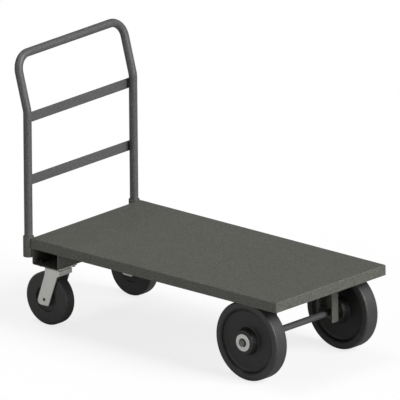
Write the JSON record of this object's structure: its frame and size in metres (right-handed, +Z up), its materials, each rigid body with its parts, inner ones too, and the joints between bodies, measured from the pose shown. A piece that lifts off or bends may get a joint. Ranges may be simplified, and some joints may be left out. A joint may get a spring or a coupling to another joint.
{
  "type": "platform cart",
  "caption": "Flat steel platform cart with large fixed front wheels, swivel casters at the rear and a lift-out tubular push handle.",
  "frame": {"origin": "on the floor, under the middle of the whole cart's outline", "axes": "+X along the deck towards the fixed wheels, away from the push handle; +Y to the left of a person pushing the cart towards +X; +Z up"},
  "size_m": [1.3106, 0.6272, 1.0465],
  "materials": {
    "deck_paint": "satin grey enamel",
    "handle_paint": "satin grey enamel",
    "axle_steel": "satin grey enamel",
    "zinc_plate": "bright zinc plate",
    "dark_steel": "black oxide",
    "bearing_steel": "ground steel",
    "seal_rubber": "matt",
    "moulded_wheel": "matt moulded",
    "wheel_plastic": "matt moulded",
    "tyre_rubber": "matt rubber"
  },
  "bodies": {
    "chassis": {"deck_pan": "deck_paint", "caster_channel": "deck_paint", "middle_rib": "deck_paint", "front_rib": "deck_paint", "front_axle": "axle_steel", "socket_stops": "deck_paint", "caster_bolts": "dark_steel", "caster_nuts": "dark_steel", "axle_bracket_left": "deck_paint", "handle_socket_left": "deck_paint", "wheel_spacer_left": "zinc_plate", "wheel_washer_left": "zinc_plate", "retaining_ring_left": "dark_steel", "caster_plate_left": "zinc_plate", "kingpin_left": "bearing_steel", "kingpin_nut_left": "zinc_plate", "lower_race_left": "bearing_steel", "axle_bracket_right": "deck_paint", "handle_socket_right": "deck_paint", "wheel_spacer_right": "zinc_plate", "wheel_washer_right": "zinc_plate", "retaining_ring_right": "dark_steel", "caster_plate_right": "zinc_plate", "kingpin_right": "bearing_steel", "kingpin_nut_right": "zinc_plate", "lower_race_right": "bearing_steel"},
    "handle": {"handle_tube": "handle_paint", "lower_crossbar": "handle_paint", "upper_crossbar": "handle_paint"},
    "caster_fork_left": {"caster_yoke_left": "zinc_plate", "caster_axle_left": "dark_steel", "spanner_bushing_left": "bearing_steel", "thrust_washers_left": "zinc_plate", "upper_balls_left": "bearing_steel", "lower_balls_left": "bearing_steel", "dust_ring_left": "seal_rubber"},
    "caster_wheel_left": {"caster_tread_wheel_left": "moulded_wheel", "caster_bearing_sleeve_left": "bearing_steel", "caster_rollers_left": "bearing_steel"},
    "front_wheel_left": {"tyre_left": "tyre_rubber", "wheel_centre_left": "wheel_plastic", "wheel_bearing_sleeve_left": "bearing_steel", "wheel_rollers_left": "bearing_steel"},
    "caster_fork_right": {"caster_yoke_right": "zinc_plate", "caster_axle_right": "dark_steel", "spanner_bushing_right": "bearing_steel", "thrust_washers_right": "zinc_plate", "upper_balls_right": "bearing_steel", "lower_balls_right": "bearing_steel", "dust_ring_right": "seal_rubber"},
    "caster_wheel_right": {"caster_tread_wheel_right": "moulded_wheel", "caster_bearing_sleeve_right": "bearing_steel", "caster_rollers_right": "bearing_steel"},
    "front_wheel_right": {"tyre_right": "tyre_rubber", "wheel_centre_right": "wheel_plastic", "wheel_bearing_sleeve_right": "bearing_steel", "wheel_rollers_right": "bearing_steel"}
  },
  "joints": [
    {"name": "handle_lift", "type": "slide", "parent": "chassis", "child": "handle", "axis": [0, 0, 1], "range_m": [0, 0.09]},
    {"name": "caster_swivel_left", "type": "hinge", "parent": "chassis", "child": "caster_fork_left", "pos_m": [-0.49716, 0.2325, 0.2], "axis": [0, 0, 1], "continuous": true},
    {"name": "caster_roll_left", "type": "hinge", "parent": "caster_fork_left", "child": "caster_wheel_left", "pos_m": [-0.53216, 0.2325, 0.1016], "axis": [0, 1, 0], "continuous": true},
    {"name": "front_roll_left", "type": "hinge", "parent": "chassis", "child": "front_wheel_left", "pos_m": [0.48464, 0.2517, 0.1524], "axis": [0, 1, 0], "continuous": true},
    {"name": "caster_swivel_right", "type": "hinge", "parent": "chassis", "child": "caster_fork_right", "pos_m": [-0.49716, -0.2325, 0.2], "axis": [0, 0, 1], "continuous": true},
    {"name": "caster_roll_right", "type": "hinge", "parent": "caster_fork_right", "child": "caster_wheel_right", "pos_m": [-0.53216, -0.2325, 0.1016], "axis": [0, 1, 0], "continuous": true},
    {"name": "front_roll_right", "type": "hinge", "parent": "chassis", "child": "front_wheel_right", "pos_m": [0.48464, -0.2517, 0.1524], "axis": [0, 1, 0], "continuous": true}
  ]
}
